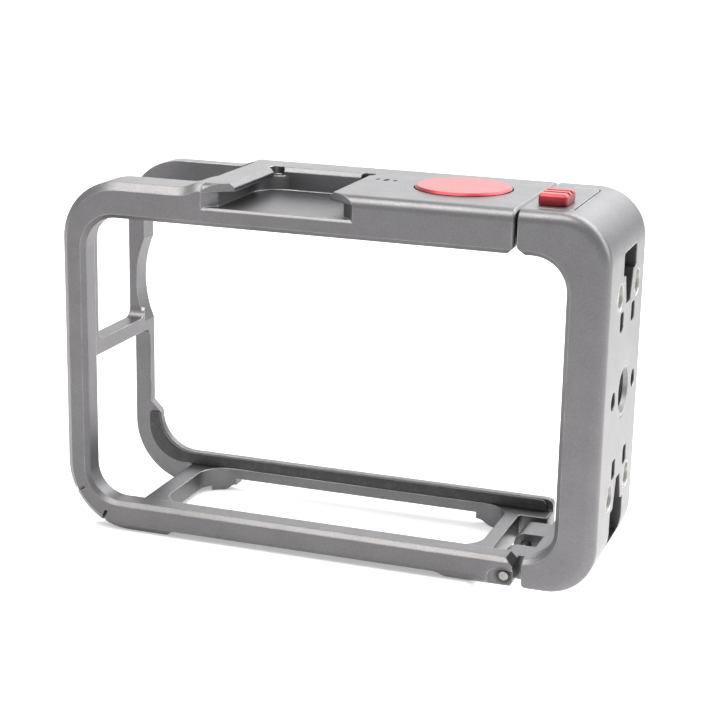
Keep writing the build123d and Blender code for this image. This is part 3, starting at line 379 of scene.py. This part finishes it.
frameGrey = blastedAluminium("frameGrey", marks=markDots, shadedSpots=pinRecess)
doorGrey = blastedAluminium("doorGrey", holes=locatingHoles + magnetPockets)
dress("main_frame", frameGrey)
dress("side_door", doorGrey)
dress("lock_cover", doorGrey)
dress("record_cap", redAluminium("capRed", places["record"]))
dress("hinge_pin", turnedMetal("pinSteel", "Y", places["hinge"]))
dress("side_magnets", turnedMetal("magnetNickel", "X", places["sideCentre"]))
dress("record_bush", turnedMetal("bushBrass", "Z", places["record"]))
dress("keeper_plate", groundSteel("keeperSteel"))
dress("lock_bolt", groundSteel("boltSteel"))
dress("lock_leaf_spring", groundSteel("leafSteel"))
dress("record_clip", groundSteel("clipSteel"))
dress("record_plunger", acetal("plungerWhite"))
blackened = groundSteel("screwBlack")
for screw in ("lock_cover_screws", "keeper_screws", "lock_button_screw"):
    dress(screw, blackened)
print("solid parts dressed")


def finishPiece(name, mesh, material, body, replaced):
    data = bpy.data.meshes.new(name)
    mesh.to_mesh(data)
    mesh.free()
    data.materials.append(material)
    piece = bpy.data.objects.new(name, data)
    bpy.context.scene.collection.objects.link(piece)
    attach(piece, body)
    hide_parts(replaced)
    return piece


def smoothBelow(mesh, degrees):
    for face in mesh.faces:
        face.smooth = True
    for edge in mesh.edges:
        edge.smooth = len(edge.link_faces) == 2 and edge.calc_face_angle() < radians(degrees)


# metres, except flatAngle in degrees and sameWay, the cosine between normals that count as one way
meshSizes = {"weld": 1e-7, "merge": 2e-6, "near": 1e-6, "flatAngle": 1.0, "sameWay": 0.99}


def mergedCopy(name):
    # the solid's own mesh, merged and with its flat triangles joined
    mesh = bmesh.new()
    mesh.from_mesh(nodes[name].data)
    bmesh.ops.remove_doubles(mesh, verts=mesh.verts, dist=meshSizes["merge"])
    bmesh.ops.dissolve_limit(mesh, angle_limit=radians(meshSizes["flatAngle"]),
                             verts=mesh.verts, edges=mesh.edges)
    return mesh


def roundEdges(mesh, edges, width, segments, clamped=False):
    bmesh.ops.bevel(mesh, geom=edges, offset=width, offset_type="OFFSET", segments=segments, profile=0.5,
                    affect="EDGES", material=-1, clamp_overlap=clamped)


def roundOver(mesh, width, segments, degrees):
    sharp = [e for e in mesh.edges if len(e.link_faces) == 2 and e.calc_face_angle() > radians(degrees)]
    roundEdges(mesh, sharp, width, segments, clamped=True)


def profileRing(mesh, points):
    # a closed outline of (x, radius) points in the XZ plane, as edges
    corners = [mesh.verts.new((x * mm, 0.0, radius * mm)) for x, radius in points]
    edges = [mesh.edges.new((corners[i - 1], corners[i])) for i in range(len(corners))]
    return corners, edges


# mm; crest holds the start, top and end of the ridge's crest as shares of the pitch
insertSizes = {
    "back": 35.6, "front": 40.0, "outer": 3.9, "rim": 0.12, "wallSteps": 72, "smooth": 32,
    "mouth": 3.22, "mouthDepth": 0.62, "mouthRim": 0.05, "mouthEnd": 0.12, "mouthStep": 0.02,
    "minor": 2.6, "major": 3.17, "pitch": 1.27, "steps": 48, "lead": 0.06, "runOut": 0.95,
    "crest": (0.44, 0.50, 0.56), "crestRound": 0.04, "rootDepth": 0.03,
}


def cutInsert():
    # a sleeve with a real thread inside: a spun wall and a ridge that climbs it
    s = insertSizes
    mesh = bmesh.new()
    mouthBottom = s["front"] - s["mouthDepth"]
    wall = [(s["back"], s["outer"]), (s["front"] - s["rim"], s["outer"]), (s["front"], s["outer"] - s["rim"]),
            (s["front"], s["mouth"] + s["mouthRim"]), (s["front"] - s["mouthRim"], s["mouth"]),
            (mouthBottom, s["minor"] + s["mouthEnd"]), (mouthBottom - s["mouthStep"], s["major"]),
            (s["back"], s["major"])]
    corners, edges = profileRing(mesh, wall)
    bmesh.ops.spin(mesh, geom=corners + edges, cent=(0, 0, 0), axis=(1, 0, 0),
                   angle=2 * pi, steps=s["wallSteps"],
                   use_merge=True, use_normal_flip=False, use_duplicate=False)
    turns = (mouthBottom - s["back"]) / s["pitch"] - s["runOut"]
    start = s["back"] + s["lead"]
    rise, top, fall = (start + share * s["pitch"] for share in s["crest"])
    end = start + s["pitch"] - s["lead"]
    ridge = [(start, s["major"] + s["rootDepth"]), (rise, s["minor"] + s["crestRound"]), (top, s["minor"]),
             (fall, s["minor"] + s["crestRound"]), (end, s["major"] + s["rootDepth"])]
    corners, _ = profileRing(mesh, ridge)
    firstEnd = mesh.faces.new(corners)
    steps = int(s["steps"] * turns)
    bmesh.ops.spin(mesh, geom=[firstEnd], cent=(0, 0, 0), axis=(1, 0, 0), angle=2 * pi * turns, steps=steps,
                   dvec=(s["pitch"] * mm * turns / steps, 0, 0),
                   use_merge=False, use_normal_flip=False, use_duplicate=False)
    bmesh.ops.remove_doubles(mesh, verts=mesh.verts, dist=meshSizes["weld"])
    bmesh.ops.recalc_face_normals(mesh, faces=mesh.faces)
    _, y, z = places["sideCentre"]
    bmesh.ops.translate(mesh, vec=Vector((0, y, z)) * mm, verts=mesh.verts)
    smoothBelow(mesh, s["smooth"])
    steel = turnedMetal("insertSteel", "X", places["sideCentre"])
    finishPiece("insertCut", mesh, steel, "door", "thread_insert")


slideSizes = {"round": 0.16 * mm, "segments": 3, "sharp": 35, "smooth": 50}


def makeSlide():
    # the ribbed slide with its corners and ribs rounded by the tumbling that precedes the dye
    s = slideSizes
    mesh = mergedCopy("lock_button")
    roundOver(mesh, s["round"], s["segments"], s["sharp"])
    smoothBelow(mesh, s["smooth"])
    finishPiece("slideButton", mesh, redAluminium("slideRed"), "lock", "lock_button")


springSizes = {"floor": 49.8, "free": 2.2, "travel": 0.9, "smooth": 50}


def makeSpring():
    # the coil under the cap
    s = springSizes
    mesh = mergedCopy("record_spring")
    smoothBelow(mesh, s["smooth"])
    piece = finishPiece("capSpring", mesh, groundSteel("springSteel"), "frame", "record_spring")
    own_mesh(piece)


rubber = siliconeRubber("padRubber")
padSizes = {
    "edge": 0.16 * mm, "segments": 3, "sharp": 40, "smooth": 35, "endRound": 1.0 * mm, "endSegments": 6,
    "ribPitch": 1.7 * mm, "ribBand": 0.6 * mm, "ribDepth": 0.16 * mm, "ribMargin": 1.2 * mm, "ribSlope": 0.28,
    "onBand": 0.3,
}


def levelFaces(mesh, facing, level):
    # the faces that look one way and lie in one plane
    return [f for f in mesh.faces if f.normal.dot(facing) > meshSizes["sameWay"]
            and abs(f.calc_center_median().dot(facing) - level) < meshSizes["near"]]


def ribbed(mesh, along, facing):
    # shallow pressed bands: the face is sliced, then every other slice is inset and pushed in
    s = padSizes
    pitch, band = s["ribPitch"], s["ribBand"]
    low = min(v.co[along] for v in mesh.verts)
    high = max(v.co[along] for v in mesh.verts)
    direction = Vector((0, 0, 0))
    direction[along] = 1
    count = int((high - low - 2 * s["ribMargin"]) / pitch)
    first = (low + high - count * pitch) / 2
    toFront = [f for f in mesh.faces if f.normal.dot(facing) > meshSizes["sameWay"]]
    level = max(toFront, key=lambda f: f.calc_area()).calc_center_median().dot(facing)
    for i in range(count + 1):
        for side in (-1, 1):
            where = direction * (first + i * pitch + side * band / 2)
            geom = {}
            for f in levelFaces(mesh, facing, level):
                geom.update(dict.fromkeys([f, *f.edges, *f.verts]))
            bmesh.ops.bisect_plane(mesh, geom=list(geom), dist=meshSizes["weld"],
                                   plane_co=where, plane_no=direction)
    pressed = []
    for f in levelFaces(mesh, facing, level):
        spot = (f.calc_center_bounds()[along] - first) / pitch
        off = abs(spot - round(spot)) * pitch
        if off < band * s["onBand"] and 0 <= round(spot) <= count and f.calc_area() > band * band:
            pressed.append(f)
    bmesh.ops.inset_individual(mesh, faces=pressed, thickness=band * s["ribSlope"], depth=-s["ribDepth"],
                               use_even_offset=True)


def roundTip(mesh):
    # the long band ends in a rounded corner
    near = meshSizes["near"]
    tip = max(v.co.x for v in mesh.verts)
    crest = max(v.co.z for v in mesh.verts if v.co.x > tip - near)
    corner = [e for e in mesh.edges if all(v.co.x > tip - near and v.co.z > crest - near for v in e.verts)]
    roundEdges(mesh, corner, padSizes["endRound"], padSizes["endSegments"])


def makePad(name, node, body, ribs):
    # ribs are the axis they follow each other along and the way they face
    s = padSizes
    mesh = mergedCopy(node)
    if ribs is None:
        roundTip(mesh)
    roundOver(mesh, s["edge"], s["segments"], s["sharp"])
    if ribs is not None:
        along, facing = ribs
        ribbed(mesh, along, Vector(facing))
    smoothBelow(mesh, s["smooth"])
    finishPiece(name, mesh, rubber, body, node)


cutInsert()
makeSlide()
makeSpring()
makePad("lipPad", "far_lip_pad", "frame", None)
makePad("roofPad", "ceiling_pad", "frame", (0, (0, 0, -1)))
makePad("doorPad", "door_pad", "door", (2, (-1, 0, 0)))
print("insert, slide, spring and pads made")


# metres; the glow starts and ends at a distance from the origin, the low glow at a height
stageLook = {
    "half": 3.0, "edge": 23 * mm, "drop": 24 * mm, "lip": 1 * mm, "cove": 12 * mm,
    "foldSegments": 8, "smooth": 30, "floor": (0.86, 0.86, 0.86, 1), "rough": 0.9, "shine": 0.1,
    "glowRange": (0.22, 0.75), "glow": (0.36, 0.80),
    "lowRange": (-0.5 * mm, -4 * mm), "lowGlow": 0.28, "world": (0.42, 1.0),
}


def seenRays(tree):
    # camera, mirror-like and see-through rays
    rays = addNode(tree, "ShaderNodeLightPath")
    seen = mathValue(tree, "MAXIMUM", rays.outputs["Is Camera Ray"], rays.outputs["Is Glossy Ray"])
    return mathValue(tree, "MAXIMUM", seen, rays.outputs["Is Transmission Ray"])


def floorMesh():
    # a table whose edge runs under the hinge, with a lower floor beyond it: room for the open door
    s = stageLook
    half, edge, drop, near = s["half"], s["edge"], s["drop"], meshSizes["near"]
    mesh = bmesh.new()
    line = [mesh.verts.new((x, -half, z)) for x, z in ((-half, 0), (edge, 0), (edge, -drop), (half, -drop))]
    edges = [mesh.edges.new((line[i], line[i + 1])) for i in range(3)]
    made = bmesh.ops.extrude_edge_only(mesh, edges=edges)
    farSide = [v for v in made["geom"] if isinstance(v, bmesh.types.BMVert)]
    bmesh.ops.translate(mesh, vec=(0, 2 * half, 0), verts=farSide)
    for height, reach in ((0, s["lip"]), (-drop, s["cove"])):
        fold = [e for e in mesh.edges
                if all(abs(v.co.x - edge) < near and abs(v.co.z - height) < near for v in e.verts)]
        roundEdges(mesh, fold, reach, s["foldSegments"])
    bmesh.ops.recalc_face_normals(mesh, faces=mesh.faces)
    if max(mesh.faces, key=lambda f: f.calc_area()).normal.z < 0:
        bmesh.ops.reverse_faces(mesh, faces=mesh.faces)
    smoothBelow(mesh, s["smooth"])
    return mesh


def makeFloor():
    s = stageLook
    mesh = floorMesh()
    data = bpy.data.meshes.new("floor")
    mesh.to_mesh(data)
    mesh.free()
    floor = bpy.data.objects.new("floor", data)
    bpy.context.scene.collection.objects.link(floor)
    material, tree, shader = newTree("paleFloor")
    shader.inputs["Base Color"].default_value = s["floor"]
    shader.inputs["Roughness"].default_value = s["rough"]
    shader.inputs["Specular IOR Level"].default_value = s["shine"]
    shader.inputs["Emission Color"].default_value = (1, 1, 1, 1)
    # the lamps reach only the middle of the floor, so it glows more further out and below the edge
    place = addNode(tree, "ShaderNodeTexCoord").outputs["Object"]
    away = addNode(tree, "ShaderNodeVectorMath", {"operation": "LENGTH"}, {0: place}).outputs["Value"]
    height = addNode(tree, "ShaderNodeSeparateXYZ", None, {0: place}).outputs["Z"]
    level = mathValue(tree, "ADD", rangeValue(tree, away, *s["glowRange"], *s["glow"]),
                      rangeValue(tree, height, *s["lowRange"], 0.0, s["lowGlow"]))
    tree.links.new(mathValue(tree, "MULTIPLY", seenRays(tree), level), shader.inputs["Emission Strength"])
    data.materials.append(material)


def makeWorld():
    world = bpy.data.worlds.new("studio")
    bpy.context.scene.world = world
    world.use_nodes = True
    tree = world.node_tree
    sky = tree.nodes["Background"]
    sky.inputs["Color"].default_value = (1, 1, 1, 1)
    tree.links.new(rangeValue(tree, seenRays(tree), 0.0, 1.0, *stageLook["world"]), sky.inputs["Strength"])


# name, place and aim in mm, width and height in mm, watts, colour
lamps = (
    ("topLamp", (-115, -130, 460), (0, 0, 20), 400, 280, 2.0, (1.0, 0.965, 0.89)),
    ("backLamp", (-40, 620, 250), (0, 0, 40), 700, 320, 0.8, (1.0, 1.0, 1.0)),
    ("rightLamp", (430, 100, 240), (0, 0, 26), 240, 340, 1.0, (1.0, 0.98, 0.96)),
    ("floorLamp", (135, 190, 290), (85, 110, 0), 320, 260, 1.4, (1.0, 0.995, 0.99)),
    ("leftLamp", (-380, -260, 260), (0, 0, 26), 240, 240, 0.3, (0.97, 0.98, 1.0)),
)


def makeLamps():
    for name, spot, aim, width, height, watts, colour in lamps:
        light = bpy.data.lights.new(name, "AREA")
        light.shape = "RECTANGLE"
        light.size = width * mm
        light.size_y = height * mm
        light.energy = watts
        light.color = colour
        lamp = bpy.data.objects.new(name, light)
        lamp.location = Vector(spot) * mm
        lamp.rotation_euler = (Vector(aim) - Vector(spot)).to_track_quat("-Z", "Y").to_euler()
        lamp.visible_camera = False
        bpy.context.scene.collection.objects.link(lamp)


# degrees, with away, aim, lens and sensor in mm and the clip in metres
viewpoint = {"azimuth": 19.294, "elevation": 15.372, "roll": 1.155, "away": 262.973,
             "aim": (1.586, 0.0, 26.752), "lens": 90.68, "sensor": 36.0, "clip": (0.01, 20.0)}


def makeCamera():
    v = viewpoint
    turn, rise, roll = radians(v["azimuth"]), radians(v["elevation"]), radians(v["roll"])
    back = Vector((sin(turn) * cos(rise), -cos(turn) * cos(rise), sin(rise)))
    right = Vector((cos(turn), sin(turn), 0.0))
    up = back.cross(right)
    rolledRight = right * cos(roll) + up * sin(roll)
    rolledUp = up * cos(roll) - right * sin(roll)
    data = bpy.data.cameras.new("camera")
    data.sensor_width = v["sensor"]
    data.lens = v["lens"]
    data.clip_start, data.clip_end = v["clip"]
    camera = bpy.data.objects.new("camera", data)
    spot = (Vector(v["aim"]) + back * v["away"]) * mm
    camera.matrix_world = Matrix((
        (rolledRight.x, rolledUp.x, back.x, spot.x),
        (rolledRight.y, rolledUp.y, back.y, spot.y),
        (rolledRight.z, rolledUp.z, back.z, spot.z),
        (0, 0, 0, 1)))
    bpy.context.scene.collection.objects.link(camera)
    bpy.context.scene.camera = camera


makeFloor()
makeWorld()
makeLamps()
makeCamera()
bpy.context.scene.view_settings.view_transform = "Standard"
print("studio ready")
